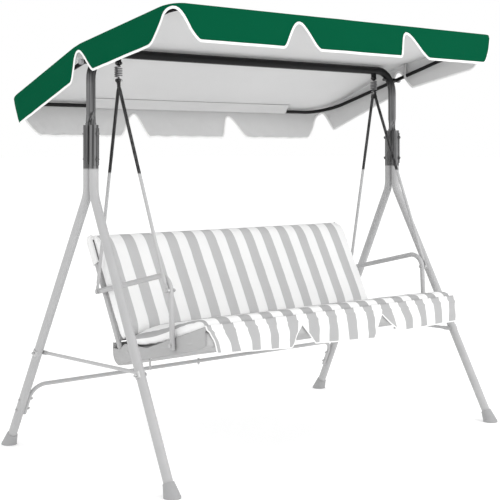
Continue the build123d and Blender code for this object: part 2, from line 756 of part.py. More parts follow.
front_drop = 139              # measured along the hanging cloth
rear_drop = 138
side_drop = 120
corner_drop = 17
apex_drop = 37
front_tabs = ((808, 405), (218, -218), (-405, -808))
front_notch_x = 302
rear_tabs = ((757, 365), (200, -200), (-365, -757))
rear_notch_x = 272
side_tabs = ((481, 87), (-31, -360))     # y of each tab's corners, before it leans
side_notch_y = 25
side_notch_drop = 26
tab_round = 30
apex_round = 9
frame_slope = (frame_rear[1] - frame_front[1]) / (frame_rear[0] - frame_front[0])
hang_z = -1 / sqrt(1 + frame_slope ** 2)     # the edges hang square to the sloping frame, so they
hang_y = -frame_slope * hang_z               # lean forward by this much for each unit of cloth


def roof_z(y):
    """Height of the roof's outer surface."""
    low, high = (canopy_front, canopy_ridge) if y < canopy_ridge[0] else (canopy_rear, canopy_ridge)
    return low[1] + (high[1] - low[1]) * (y - low[0]) / (high[0] - low[0])


def hung(y, drop):
    """The (y, z) of a point of a side edge that hangs this far below the roof at y."""
    return (y + hang_y * drop, roof_z(y) + hang_z * drop)


def add_valance(plane, closing, hanging, inward):
    """Add one hanging edge. closing is the roof line, hanging the tabs and the notches between."""
    radii = [tab_round if is_tab else apex_round for _, is_tab in hanging]
    route = [closing[-1]] + [point for point, _ in hanging] + [closing[0]]
    with BuildSketch(plane) as outline:
        with BuildLine():
            FilletPolyline(*route, radius=radii)
            Polyline(*closing)
        make_face()
    extrude(outline.sketch, amount=inward * cloth_t)


def tab_points(tabs, apexes, corner):
    """Notch apexes and tab corners in order. corner gives the point of a tab's corner."""
    points = [(apexes[0], False)]
    for (near, far), apex in zip(tabs, apexes[1:]):
        points += [(corner(near), True), (corner(far), True), (apex, False)]
    return points


with BuildPart() as cover:
    add_slab([canopy_front, canopy_ridge, canopy_rear, (canopy_rear[0], canopy_rear[1] - cloth_t),
              (canopy_ridge[0], canopy_ridge[1] - cloth_t), (canopy_front[0], canopy_front[1] - cloth_t)],
             canopy_half)
    for edge, drop, tabs, notch_x, inward in ((canopy_front, front_drop, front_tabs, front_notch_x, -1),
                                              (canopy_rear, rear_drop, rear_tabs, rear_notch_x, 1)):
        apexes = [(canopy_half, -corner_drop), (notch_x, -apex_drop), (-notch_x, -apex_drop),
                  (-canopy_half, -corner_drop)]
        add_valance(Plane(origin=(0, *edge), x_dir=(1, 0, 0), z_dir=(0, hang_z, -hang_y)),
                    [(-canopy_half, 0), (canopy_half, 0)],
                    tab_points(tabs, apexes, lambda x: (x, -drop)), inward)
    for side in sides.values():
        apexes = [hung(canopy_rear[0], corner_drop), hung(side_notch_y, side_notch_drop),
                  hung(canopy_front[0], corner_drop)]
        add_valance(across(side * canopy_half, 0, 0, 1), [canopy_front, canopy_ridge, canopy_rear],
                    tab_points(side_tabs, apexes, lambda y: hung(y, side_drop)), -side)
save(cover, "canopy_cover")
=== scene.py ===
"""Looks of the canopy swing bench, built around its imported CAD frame.

Lengths are written in millimetres in the bench's own frame (+Z up, -Y front) and become metres when
a mesh is made. Y is counted from the middle of the footprint, which lies SET_BACK behind the origin.
"""
import math

import bmesh
import bpy
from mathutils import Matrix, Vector, noise


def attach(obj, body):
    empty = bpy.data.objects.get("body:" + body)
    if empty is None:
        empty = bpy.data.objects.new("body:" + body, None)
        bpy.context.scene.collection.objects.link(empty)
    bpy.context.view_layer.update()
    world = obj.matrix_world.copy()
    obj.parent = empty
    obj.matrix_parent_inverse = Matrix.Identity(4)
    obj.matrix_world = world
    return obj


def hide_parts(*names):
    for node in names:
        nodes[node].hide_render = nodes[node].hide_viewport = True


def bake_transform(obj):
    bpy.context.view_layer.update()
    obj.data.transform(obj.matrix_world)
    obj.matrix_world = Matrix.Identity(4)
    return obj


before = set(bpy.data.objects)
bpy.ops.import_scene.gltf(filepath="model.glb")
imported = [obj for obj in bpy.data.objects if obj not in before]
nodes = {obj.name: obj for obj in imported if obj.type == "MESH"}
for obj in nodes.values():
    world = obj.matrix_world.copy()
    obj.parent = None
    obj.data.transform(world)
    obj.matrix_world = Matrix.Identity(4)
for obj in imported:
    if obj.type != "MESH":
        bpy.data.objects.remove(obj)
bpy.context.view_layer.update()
scene = bpy.context.scene

SET_BACK = 10


def metres(x, y, z):
    """A point in metres from its place in millimetres."""
    return Vector((x / 1000, (y + SET_BACK) / 1000, z / 1000))


# ---- camera, light and floor --------------------------------------------------------------------
camera_data = bpy.data.cameras.new("camera")
camera = bpy.data.objects.new("camera", camera_data)
scene.collection.objects.link(camera)
camera.location = metres(-3518, -3814, 1175.5)
camera.rotation_euler = (math.radians(90), 0, math.radians(-42.25))
camera_data.lens = 88.95
camera_data.sensor_width = 36
camera_data.shift_y = -0.1952
scene.camera = camera
scene.view_settings.view_transform = "Standard"
scene.view_settings.look = "None"

world = bpy.data.worlds.new("studio")
scene.world = world
world.use_nodes = True
world.node_tree.nodes["Background"].inputs["Color"].default_value = (1, 1, 1, 1)
world.node_tree.nodes["Background"].inputs["Strength"].default_value = 1.0


def soft_light(name, spot, target, size, power):
    """Add a large soft lamp at spot that shines on target (metres)."""
    data = bpy.data.lights.new(name, "AREA")
    data.shape = "DISK"
    data.size = size
    data.energy = power
    lamp = bpy.data.objects.new(name, data)
    scene.collection.objects.link(lamp)
    lamp.location = spot
    lamp.rotation_euler = (Vector(target) - Vector(spot)).to_track_quat("-Z", "Y").to_euler()


soft_light("key", (1.2, -4.4, 2.6), (0, 0, 0.9), 2.4, 60)
soft_light("fill", (-4.2, -1.8, 2.2), (0, 0, 0.8), 2.5, 12)


# ---- materials ----------------------------------------------------------------------------------
def new_material(name, base, rough, metallic=0.0, specular=0.4):
    """A Principled material with its fixed values on the shader's own sockets."""
    made = bpy.data.materials.new(name)
    made.use_nodes = True
    shader = made.node_tree.nodes["Principled BSDF"]
    shader.inputs["Base Color"].default_value = (*base, 1)
    shader.inputs["Roughness"].default_value = rough
    shader.inputs["Metallic"].default_value = metallic
    shader.inputs["Specular IOR Level"].default_value = specular
    return made, made.node_tree, shader


def add_node(tree, kind, **values):
    """Add a node; values are its properties or, where it has no such property, its input sockets."""
    made = tree.nodes.new(kind)
    for key, value in values.items():
        label = key.replace("_", " ").title()
        if hasattr(made, key):
            setattr(made, key, value)
        else:
            made.inputs[label].default_value = value
    return made


def math_node(tree, operation, first, second=None):
    """Add a Math node; each operand is a number or a socket."""
    made = tree.nodes.new("ShaderNodeMath")
    made.operation = operation
    for index, value in enumerate((first, second)):
        if value is None:
            continue
        if isinstance(value, (int, float)):
            made.inputs[index].default_value = value
        else:
            tree.links.new(value, made.inputs[index])
    return made.outputs[0]


def mix_colors(tree, share, first, second):
    """Mix two colours, each a socket or an RGB triple, by a socket."""
    made = tree.nodes.new("ShaderNodeMix")
    made.data_type = "RGBA"
    tree.links.new(share, made.inputs["Factor"])
    for name, value in (("A", first), ("B", second)):
        socket = [s for s in made.inputs if s.name == name and s.type == "RGBA"][0]
        if isinstance(value, tuple):
            socket.default_value = (*value, 1)
        else:
            tree.links.new(value, socket)
    return [s for s in made.outputs if s.type == "RGBA"][0]


def object_point(tree):
    """The coordinates of the shaded point in the bench's frame, in metres."""
    return tree.nodes.new("ShaderNodeTexCoord").outputs["Object"]


def noise_value(tree, scale, detail=2.0):
    """A grey noise in the bench's frame."""
    made = add_node(tree, "ShaderNodeTexNoise", scale=scale, detail=detail)
    tree.links.new(object_point(tree), made.inputs["Vector"])
    return made.outputs["Fac"]


def painted_reflection_streaks(tree):
    """A grey noise drawn out along Z, for the painted reflection streaks on upright tubes."""
    stretch = tree.nodes.new("ShaderNodeMapping")
    stretch.inputs["Scale"].default_value = (1, 1, 0.012)
    tree.links.new(object_point(tree), stretch.inputs["Vector"])
    made = add_node(tree, "ShaderNodeTexNoise", scale=150.0, detail=2.0)
    tree.links.new(stretch.outputs["Vector"], made.inputs["Vector"])
    return made.outputs["Fac"]


def shades(color, spread):
    """A darker and a lighter shade of a colour."""
    return (tuple(c * (1 - spread) for c in color), tuple(min(1.0, c * (1 + spread)) for c in color))


def add_bump(tree, shader, height, strength, distance):
    """Feed a height into the shader's normal."""
    bump = add_node(tree, "ShaderNodeBump", strength=strength, distance=distance)
    tree.links.new(height, bump.inputs["Height"])
    tree.links.new(bump.outputs["Normal"], shader.inputs["Normal"])


def vary_roughness(tree, shader, scale, low, high):
    """Let the roughness wander between low and high."""
    spread = add_node(tree, "ShaderNodeMapRange")
    spread.inputs["To Min"].default_value = low
    spread.inputs["To Max"].default_value = high
    tree.links.new(noise_value(tree, scale), spread.inputs["Value"])
    tree.links.new(spread.outputs["Result"], shader.inputs["Roughness"])


# The second colours handed to painted() below are spread there into light and dark streaks: painted
# reflections on black tubes.
BLACK = (0.006, 0.006, 0.0065)
BLACK_WITH_PAINTED_REFLECTIONS = (0.12, 0.12, 0.122)
PALE = (0.45, 0.45, 0.453)
PALE_THIN = (0.47, 0.47, 0.473)
HANGER_BLACK = (0.03, 0.03, 0.031)


def painted(name, color, above=None, change_z=0.0, specular=0.3, plain_z=9.0):
    """Powder-coated tube. above is a second colour for the part higher than change_z (metres), spread into
    light and dark streaks that are painted reflections.

    Higher than plain_z the tube has its first colour again.
    """
    made, tree, shader = new_material(name, color, 0.4, specular=specular)
    tone_and_painted_reflections = mix_colors(tree, noise_value(tree, 14, 3), *shades(color, 0.07))
    if above:
        height = tree.nodes.new("ShaderNodeSeparateXYZ")
        tree.links.new(object_point(tree), height.inputs[0])
        share = 1.0
        for low, high in ((change_z - 0.003, change_z + 0.003), (plain_z + 0.04, plain_z - 0.04)):
            edge = add_node(tree, "ShaderNodeMapRange")
            edge.inputs["From Min"].default_value = low
            edge.inputs["From Max"].default_value = high
            tree.links.new(height.outputs["Z"], edge.inputs["Value"])
            share = math_node(tree, "MULTIPLY", edge.outputs["Result"], share)
        # light and dark streaks of the second colour: painted reflections
        marks = add_node(tree, "ShaderNodeMapRange")
        marks.inputs["From Min"].default_value = 0.38
        marks.inputs["From Max"].default_value = 0.62
        tree.links.new(painted_reflection_streaks(tree), marks.inputs["Value"])
        upper = mix_colors(tree, marks.outputs["Result"], *shades(above, 0.72))
        tone_and_painted_reflections = mix_colors(tree, share, tone_and_painted_reflections, upper)
    tree.links.new(tone_and_painted_reflections, shader.inputs["Base Color"])
    vary_roughness(tree, shader, 60, 0.32, 0.46)
    add_bump(tree, shader, noise_value(tree, 900, 1), 0.18, 0.0002)
    return made


def metal(name, color, rough, scale=160):
    """Zinc-plated or spring steel with fine scratches."""
    made, tree, shader = new_material(name, color, rough, metallic=1.0)
    tree.links.new(mix_colors(tree, noise_value(tree, scale, 4), *shades(color, 0.18)),
                   shader.inputs["Base Color"])
    vary_roughness(tree, shader, scale * 2, rough - 0.1, rough + 0.12)
    add_bump(tree, shader, noise_value(tree, 1400, 2), 0.12, 0.0001)
    return made


def plastic(name, color):
    """Moulded plastic with a fine grain."""
    made, tree, shader = new_material(name, color, 0.55)
    tree.links.new(mix_colors(tree, noise_value(tree, 30, 2), *shades(color, 0.06)),
                   shader.inputs["Base Color"])
    add_bump(tree, shader, noise_value(tree, 1100, 3), 0.25, 0.0002)
    return made


THREAD = 0.0011      # spacing of the threads in every weave, in metres


def weave_height(tree):
    """Height of a plain weave whose threads run along X and along the cloth's other way."""
    place = tree.nodes.new("ShaderNodeSeparateXYZ")
    tree.links.new(object_point(tree), place.inputs[0])
    turn = 2 * math.pi / THREAD
    warp = math_node(tree, "SINE", math_node(tree, "MULTIPLY", place.outputs["X"], turn))
    slope = math_node(tree, "ADD", place.outputs["Y"], place.outputs["Z"])
    weft = math_node(tree, "SINE", math_node(tree, "MULTIPLY", slope, turn))
    return math_node(tree, "MULTIPLY", warp, weft)


def cloth(name, color, rough=0.85, spread=0.05, specular=0.2, crease=0.35):
    """Woven cloth: threads, soft creases and a slow change of shade."""
    made, tree, shader = new_material(name, color, rough, specular=specular)
    tree.links.new(mix_colors(tree, noise_value(tree, 5, 3), *shades(color, spread)),
                   shader.inputs["Base Color"])
    creases = math_node(tree, "MULTIPLY", noise_value(tree, 11, 3), 5.0)
    add_bump(tree, shader, math_node(tree, "ADD", creases, weave_height(tree)), crease, 0.0006)
    return made, tree, shader


STRIPE_PITCH = 0.1056
STRIPE_WIDTH = 0.052
BACK_STRIPE = -0.024     # centre of one grey stripe, across the bench
SEAT_STRIPE = 0.041
BACK_GREY = (0.55, 0.55, 0.553)
SEAT_GREY = (0.45, 0.45, 0.453)
STRIPE_WHITE = (0.93, 0.93, 0.928)


def striped(name, centre, color):
    """Grey and white striped cloth. The stripes follow the cloth's own first coordinate."""
    made, tree, shader = cloth(name, STRIPE_WHITE)
    layer = add_node(tree, "ShaderNodeUVMap", uv_map="cloth")
    parts = tree.nodes.new("ShaderNodeSeparateXYZ")
    tree.links.new(layer.outputs["UV"], parts.inputs[0])
    shifted = math_node(tree, "SUBTRACT", parts.outputs["X"], centre - STRIPE_PITCH / 2)
    phase = math_node(tree, "FLOORED_MODULO", shifted, STRIPE_PITCH)
    off = math_node(tree, "ABSOLUTE", math_node(tree, "SUBTRACT", phase, STRIPE_PITCH / 2))
    edge = add_node(tree, "ShaderNodeMapRange")
    edge.inputs["From Min"].default_value = STRIPE_WIDTH / 2 + 0.0008
    edge.inputs["From Max"].default_value = STRIPE_WIDTH / 2 - 0.0008
    tree.links.new(off, edge.inputs["Value"])
    cap = add_node(tree, "ShaderNodeMapRange")      # a second coordinate over 1 marks a white end cap
    cap.inputs["From Min"].default_value = 1.0008
    cap.inputs["From Max"].default_value = 0.9992
    tree.links.new(parts.outputs["Y"], cap.inputs["Value"])
    share = math_node(tree, "MULTIPLY", edge.outputs["Result"], cap.outputs["Result"])
    wander = noise_value(tree, 6, 3)
    grey = mix_colors(tree, wander, *shades(color, 0.05))
    white = mix_colors(tree, wander, *shades(STRIPE_WHITE, 0.03))
    tree.links.new(mix_colors(tree, share, white, grey), shader.inputs["Base Color"])
    return made


POST_CHANGE_Z = 1.114
HANGER_CHANGE_Z = 1.097
# Legs and hangers are pale below and black above. The black parts, and the top tube's uprights below 1.47 m,
# carry painted reflection streaks.
paint_leg = painted("paint_leg", PALE, BLACK_WITH_PAINTED_REFLECTIONS, POST_CHANGE_Z)
paint_hanger = painted("paint_hanger", PALE_THIN, HANGER_BLACK, HANGER_CHANGE_Z)
paint_pale = painted("paint_pale", PALE_THIN)
paint_black = painted("paint_black", BLACK, specular=0.15)
paint_top = painted("paint_top", BLACK, BLACK_WITH_PAINTED_REFLECTIONS, 0.0, specular=0.15, plain_z=1.47)
steel_pale = metal("steel_pale", (0.55, 0.55, 0.55), 0.42)
steel_dark = metal("steel_dark", (0.10, 0.10, 0.10), 0.4)
spring_steel = metal("spring_steel", (0.17, 0.17, 0.175), 0.3, 320)
foot_plastic = plastic("foot_plastic", (0.36, 0.36, 0.365))
knob_plastic = plastic("knob_plastic", (0.30, 0.30, 0.31))
back_stripes = striped("striped_back", BACK_STRIPE, BACK_GREY)
seat_stripes = striped("striped_seat", SEAT_STRIPE, SEAT_GREY)
sling_cloth = cloth("sling_cloth", (0.47, 0.47, 0.47))[0]
trim_cloth = cloth("trim_cloth", (0.90, 0.90, 0.895), crease=0.2)[0]
canopy_green = cloth("canopy_green", (0.0008, 0.086, 0.038), 0.8, specular=0.02, crease=0.22)[0]
canopy_lining = cloth("canopy_lining", (0.66, 0.66, 0.66), 0.7, spread=0.03, specular=0.15, crease=0.3)[0]
# The bar pocket takes a darker copy of the canopy lining: painted shade, so its lit front face does not stand
# out.
pocket_lining_painted_shade = cloth("pocket_lining_painted_shade", (0.60, 0.60, 0.60), 0.7, spread=0.03, specular=0.1, crease=0.2)[0]
webbing_pale = cloth("webbing_pale", (0.52, 0.52, 0.52), 0.8, spread=0.1)[0]


def paint_nodes(material, *names):
    """Give CAD nodes a material."""
    for name in names:
        mesh = nodes[name].data
        mesh.materials.clear()
        mesh.materials.append(material)


SIDES = {"left": -1, "right": 1}
paint_nodes(paint_leg, *[f"{end}_leg_{side}" for end in ("front", "rear") for side in SIDES])
paint_nodes(paint_hanger, *[f"hanger_{end}_{side}" for end in ("front", "rear") for side in SIDES])
paint_nodes(paint_pale, "seat_front_rail", "back_top_rail", "back_low_rail",
            *[f"{part}_{side}" for side in SIDES
              for part in ("side_bar", "base_bar", "armrest", "seat_side", "back_side")])
paint_nodes(paint_top, "top_tube")
paint_nodes(paint_leg, "post_plates")
paint_nodes(paint_black, "tilt_sleeves", "canopy_front_bar", "canopy_rear_bar",
            *[f"{part}_{side}" for side in SIDES for part in ("hanger_bracket", "canopy_arm")])
paint_nodes(steel_pale, "side_bar_saddles", "side_bar_bolts", "brace_nuts", "base_bar_bolts",
            "armrest_bolts", "seat_nuts", "hanger_spacers", "frame_bolts")
paint_nodes(steel_dark, "post_bolts", "stand_nuts", "swing_pins", "tilt_bolts", "apex_bolts")
paint_nodes(foot_plastic, "foot_caps", "armrest_plugs")
paint_nodes(knob_plastic, "tilt_knob_left", "tilt_knob_right")


# ---- mesh helpers -------------------------------------------------------------------------------
def make_object(name, points, faces, materials):
    """A mesh object from points in millimetres."""
    mesh = bpy.data.meshes.new(name)
    mesh.from_pydata([metres(*p) for p in points], [], faces)
    for material in materials:
        mesh.materials.append(material)
    for face in mesh.polygons:
        face.use_smooth = True
    made = bpy.data.objects.new(name, mesh)
    scene.collection.objects.link(made)
    return made


def apply_modifiers(made):
    """Turn an object's modifiers into mesh."""
    graph = bpy.context.evaluated_depsgraph_get()
    mesh = bpy.data.meshes.new_from_object(made.evaluated_get(graph))
    made.modifiers.clear()
    made.data = mesh


def grid_faces(rows, columns, first=0):
    """Faces of a grid of points stored row by row."""
    return [(first + r * columns + c, first + r * columns + c + 1,
             first + (r + 1) * columns + c + 1, first + (r + 1) * columns + c)
            for r in range(rows - 1) for c in range(columns - 1)]


def thicken(made, thickness, rim=0, inner=0, even=True):
    """Give a sheet a thickness in millimetres on the side away from its normals."""
    solid = made.modifiers.new("thickness", "SOLIDIFY")
    solid.thickness = thickness / 1000
    solid.offset = -1
    solid.material_offset = inner
    solid.material_offset_rim = rim
    solid.use_even_offset = even
    apply_modifiers(made)
    for face in made.data.polygons:
        face.use_smooth = True


def settle_faces(made, reverse=None, agree=False):
    """Make the faces agree on one outside, and turn them all over where reverse(faces) says so."""
    shape = bmesh.new()
    shape.from_mesh(made.data)
    if agree:
        bmesh.ops.recalc_face_normals(shape, faces=shape.faces)
    if reverse and reverse(shape.faces[:]):
        bmesh.ops.reverse_faces(shape, faces=shape.faces)
    shape.to_mesh(made.data)
    shape.free()


def lerp(a, b, share):
    """The number this share of the way from a to b."""
    return a + (b - a) * share


def smooth_step(x):
    """Rise softly from 0 to 1 as x does."""
    x = max(0.0, min(1.0, x))
    return x * x * (3 - 2 * x)


def ripple(x, y, z, size, seed):
    """A steady noise from -1 to 1 with waves of about size millimetres."""
    return noise.noise(Vector((x / size + seed, y / size, z / size)))


def spaced(low, high, step):
    """Numbers from low to high, about step apart."""
    count = max(1, round(abs(high - low) / step))
    return [lerp(low, high, i / count) for i in range(count + 1)]


def round_line(points, closed=False, passes=2):
    """Cut the corners of a line of points."""
    for _ in range(passes):
        pairs = list(zip(points, points[1:] + points[:1])) if closed else list(zip(points, points[1:]))
        cut = [tuple(lerp(a, b, t) for a, b in zip(p, q)) for p, q in pairs for t in (0.25, 0.75)]
        points = cut if closed else [points[0]] + cut + [points[-1]]
    return points


def line_length(line):
    """Length of a line of points."""
    return sum(math.dist(a, b) for a, b in zip(line, line[1:]))


def resample(points, step):
    """Points about step apart along a line of points."""
    lengths = [0.0]
    for a, b in zip(points, points[1:]):
        lengths.append(lengths[-1] + math.dist(a, b))
    found = []
    index = 0
    for want in spaced(0.0, lengths[-1], step):
        while index < len(points) - 2 and lengths[index + 1] < want:
            index += 1
        span = lengths[index + 1] - lengths[index]
        share = (want - lengths[index]) / span if span else 0.0
        found.append(tuple(lerp(a, b, share) for a, b in zip(points[index], points[index + 1])))
    return found


def sweep_section(name, line, section, frames, materials, closed=False):
    """Sweep a closed section along a line. frames gives each point's two directions of the section."""
    points, faces = [], []
    for spot, (u, v) in zip(line, frames):
        spot = Vector(spot)
        points += [tuple(spot + u * a + v * b) for a, b in section]
    rings, sides = len(line), len(section)
    for r in range(rings if closed else rings - 1):
        a, b = r * sides, ((r + 1) % rings) * sides
        faces += [(a + i, a + (i + 1) % sides, b + (i + 1) % sides, b + i) for i in range(sides)]
    if not closed:
        faces.append(tuple(reversed(range(sides))))
        faces.append(tuple((rings - 1) * sides + i for i in range(sides)))
    return make_object(name, points, faces, materials)


def ellipse(a, b, count=8):
    """Points of an ellipse."""
    return [(a * math.cos(2 * math.pi * i / count), b * math.sin(2 * math.pi * i / count))
            for i in range(count)]


def cord_line(name, line, radius, materials, count=8):
    """A round trim cord along a line in millimetres."""
    frames = []
    total = len(line)
    side = None
    for i in range(total):
        before = Vector(line[max(i - 1, 0)])
        after = Vector(line[min(i + 1, total - 1)])
        run = (after - before).normalized()
        if side is None:
            side = run.orthogonal().normalized()
        side = (side - run * side.dot(run)).normalized()
        frames.append((side, run.cross(side)))
    return sweep_section(name, line, ellipse(radius, radius, count), frames, materials)


# ---- canopy cover -------------------------------------------------------------------------------
HALF = 903
FRONT = (-537, 1687)
RIDGE = (25, 1576)
REAR = (526, 1374)
FRAME_FRONT = (-524, 1672)
FRAME_REAR = (484, 1372)
HANG = Vector((0, -0.2852, -0.9585))     # the edges hang square to the sloping frame
CLOTH_T = 1.6
STEP = 9
ROOF_SAG = 3.5
RIDGE_DIP = 2.6
RIDGE_REACH = 34
BELL_POWER = 1.05


def roof_z(y, x):
    """Height of the roof's outer face, a little slack between the bars."""
    low, high = (FRONT, RIDGE) if y < RIDGE[0] else (REAR, RIDGE)
    z = lerp(low[1], high[1], (y - low[0]) / (high[0] - low[0]))
    span = math.sin(math.pi * (y - low[0]) / (high[0] - low[0]))
    z -= ROOF_SAG * span * math.cos(math.pi * x / (2 * HALF))
    near = max(0.0, 1 - abs(y - RIDGE[0]) / RIDGE_REACH)
    return z - RIDGE_DIP * near * near


def scallop(tabs, apexes, drops, at):
    """Length of the hanging edge at this place along it: flat tabs with bell-shaped notches between."""
    deep, notch, corner = drops
    for near, far in tabs:
        if far <= at <= near:
            return deep
    apex = min(apexes, key=lambda a: abs(at - a))
    ends = [edge for tab in tabs for edge in tab if (edge - apex) * (at - apex) >= 0]
    if not ends:
        return corner
    reach = min(abs(edge - apex) for edge in ends)
    low = corner if apex in (apexes[0], apexes[-1]) else notch
    return lerp(low, deep, smooth_step(min(1.0, abs(at - apex) / reach) ** BELL_POWER))


FRONT_TABS = ((772, 420), (242, -214), (-408, -800))
REAR_TABS = ((756, 372), (212, -206), (-365, -756))
SIDE_TABS = ((472, 104), (-44, -372))
FRONT_APEXES = (HALF, 302, -302, -HALF)
REAR_APEXES = (HALF, 272, -272, -HALF)
SIDE_APEXES = (REAR[0], 25, FRONT[0])
FRONT_DROPS = (139, 36, 17)
REAR_DROPS = (138, 37, 17)
SIDE_DROPS = (119, 26, 17)
CORNER_ROUND = {"front": 64, "rear": 84}


def rounded_corner(x, y):
    """Where a point of the flat border lands once the roof's corner is rounded, and the way it faces."""
    end, edge = ("front", FRONT[0]) if y < RIDGE[0] else ("rear", REAR[0])
    radius = CORNER_ROUND[end]
    turn_x, turn_y = math.copysign(1, x), -1 if end == "front" else 1
    a = (abs(x) - (HALF - radius)) / radius
    b = (turn_y * (y - edge) + radius) / radius
    if a <= 0 or b <= 0:
        return x, y, None
    a, b = a * math.sqrt(1 - b * b / 2), b * math.sqrt(1 - a * a / 2)
    facing = Vector((turn_x * a, turn_y * b, 0))
    return turn_x * (HALF - radius + a * radius), edge + turn_y * (b - 1) * radius, facing


xs = spaced(-HALF, HALF, STEP)
ys = sorted(set(spaced(FRONT[0], RIDGE[0] - 30, STEP) + spaced(RIDGE[0] - 30, RIDGE[0] + 30, 6)
                + spaced(RIDGE[0] + 30, REAR[0], STEP)))
HANG_ROWS = 12
points, faces, facings, flat = [], [], [], []
for y in ys:
    for x in xs:
        wave = 0.7 * ripple(x, y, 0, 140, 3.1)
        spot_x, spot_y, facing = rounded_corner(x, y)
        points.append((spot_x, spot_y, roof_z(spot_y, spot_x) + wave * math.cos(math.pi * x / (2 * HALF))))
        facings.append(facing)
        flat.append((x, y))
roof_faces = grid_faces(len(ys), len(xs))
faces += roof_faces
columns = len(xs)
ring = [(i, "front") for i in range(columns)]
ring += [(r * columns + columns - 1, "right") for r in range(1, len(ys))]
ring += [((len(ys) - 1) * columns + i, "rear") for i in range(columns - 2, -1, -1)]
ring += [(r * columns, "left") for r in range(len(ys) - 2, 0, -1)]
OUT = {"front": Vector((0, -1, 0)), "rear": Vector((0, 1, 0)), "left": Vector((-1, 0, 0)),
       "right": Vector((1, 0, 0))}


def drop_at(index, side):
    """Length of the hanging edge at a point of the roof's border."""
    x, y = flat[index]
    if side == "front":
        return scallop(FRONT_TABS, FRONT_APEXES, FRONT_DROPS, x)
    if side == "rear":
        return scallop(REAR_TABS, REAR_APEXES, REAR_DROPS, x) + 3.5 * ripple(x, 0, 0, 48, 2.9)
    return scallop(SIDE_TABS, SIDE_APEXES, SIDE_DROPS, y)


hem, hem_out, starts = [], [], []
for index, side in ring:
    x, y, z = points[index]
    drop = drop_at(index, side)
    starts.append(len(points))
    out = facings[index].normalized() if facings[index] else OUT[side]
    wave_size, wave_height = (60, 4.0) if side == "rear" else (95, 2.4)
    for row in range(1, HANG_ROWS + 1):
        fall = drop * row / HANG_ROWS
        sway = wave_height * ripple(x, y, 0, wave_size, 7.7) + 1.4 * ripple(x, y, fall, 38, 1.9) - 1.8
        if side == "rear":
            sway += 2.2 * ripple(x, y, fall, 26, 6.3) - 1.2
        points.append(tuple(Vector((x, y, z)) + HANG * fall + out * (sway * smooth_step(fall / 120))))
    hem.append(Vector(points[-1]))
    hem_out.append(out)
for i, (index, side) in enumerate(ring):
    j = (i + 1) % len(ring)
    a, b = starts[i], starts[j]
    faces.append((ring[j][0], index, a, b))
    faces += [(b + r, a + r, a + r + 1, b + r + 1) for r in range(HANG_ROWS - 1)]
cover = make_object("canopy_cover_cloth", points, faces, [canopy_green, canopy_lining])
settle_faces(cover, lambda found: found[len(roof_faces) // 2].normal.z < 0, agree=True)
fold = cover.modifiers.new("fold", "BEVEL")
fold.width = 0.005
fold.segments = 3
fold.limit_method = "ANGLE"
fold.angle_limit = math.radians(50)
apply_modifiers(cover)
thicken(cover, CLOTH_T, rim=1, inner=1)
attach(cover, "canopy")
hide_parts("canopy_cover")

TAPE_HALF = 5.0
frames, line = [], []
for i, spot in enumerate(hem):
    run = (hem[(i + 1) % len(hem)] - hem[i - 1]).normalized()
    out = hem_out[i]
    out = (out - run * out.dot(run)).normalized()
    up = run.cross(out)
    if up.dot(HANG) > 0:
        up = -up
    line.append(tuple(spot + up * (TAPE_HALF - 1.5) - out * (CLOTH_T / 2)))
    frames.append((up, out))
binding = sweep_section("canopy_binding", line, ellipse(TAPE_HALF, CLOTH_T / 2 + 1.1, 10), frames,
                        [trim_cloth], closed=True)
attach(binding, "canopy")

frame_slope = (FRAME_REAR[1] - FRAME_FRONT[1]) / (FRAME_REAR[0] - FRAME_FRONT[0])
POCKET_X = (-530, 610)
pocket_profile = round_line([(444, 1402), (464, 1384), (475, 1363), (485, 1361.5), (495, 1364),
                             (504, 1372), (516, 1376)], passes=2)
pocket_profile = [(y, min(z, roof_z(y, 0) - CLOTH_T - 0.5)) for y, z in pocket_profile]
pocket_xs = spaced(*POCKET_X, 14)
pocket_points = [(x, y, z + 0.9 * ripple(x, y, z, 46, 2.2)) for x in pocket_xs for y, z in pocket_profile]
pocket = make_object("canopy_bar_pocket", pocket_points,
                     grid_faces(len(pocket_xs), len(pocket_profile)), [pocket_lining_painted_shade])
thicken(pocket, 0.8)
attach(pocket, "canopy")
for number, edge in enumerate((0, -1)):
    y, z = pocket_profile[edge]
    seam = cord_line(f"canopy_pocket_seam_{number}", [(x, y, z - 0.6) for x in spaced(*POCKET_X, 12)], 0.8,
                     [webbing_pale], count=6)
    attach(seam, "canopy")


# ---- seat and back cushions ---------------------------------------------------------------------
BENCH_HALF = 695
SEAT_REAR = Vector((0, 38, 400.5))
BACK_RUN = Vector((0, 0.4409, 0.8976))
BACK_UP = Vector((0, -0.8976, 0.4409))
SEAT_RUN = Vector((0, -0.978, 0.209))
SEAT_UP = Vector((0, 0.209, 0.978))
CUSHION_SHRINK = 2.5      # the cushions start this much smaller, because they swell
SWELL_PRESSURE = 3.0
SWELL_FRAMES = 10
SWELL_CAP = 4
VOXEL = 0.0095            # in metres


def on_seat(distance, lift):
    """The (y, z) of a point this far forward along the seat rails and lifted off their line."""
    spot = SEAT_REAR + SEAT_RUN * distance + SEAT_UP * lift
    return (spot.y, spot.z)


def on_back(distance, lift):
    """The (y, z) of a point this far up the back tubes and lifted forward of their line."""
    spot = SEAT_REAR + BACK_RUN * distance + BACK_UP * lift
    return (spot.y, spot.z)


def inset(outline, amount):
    """Move a closed outline inwards."""
    count = len(outline)
    area = sum(outline[i - 1][0] * outline[i][1] - outline[i][0] * outline[i - 1][1] for i in range(count))
    turn = 1 if area > 0 else -1
    moved = []
    for i in range(count):
        (ay, az), (by, bz) = outline[i - 1], outline[(i + 1) % count]
        run = Vector((by - ay, bz - az)).normalized()
        moved.append((outline[i][0] - turn * run.y * amount, outline[i][1] + turn * run.x * amount))
    return moved


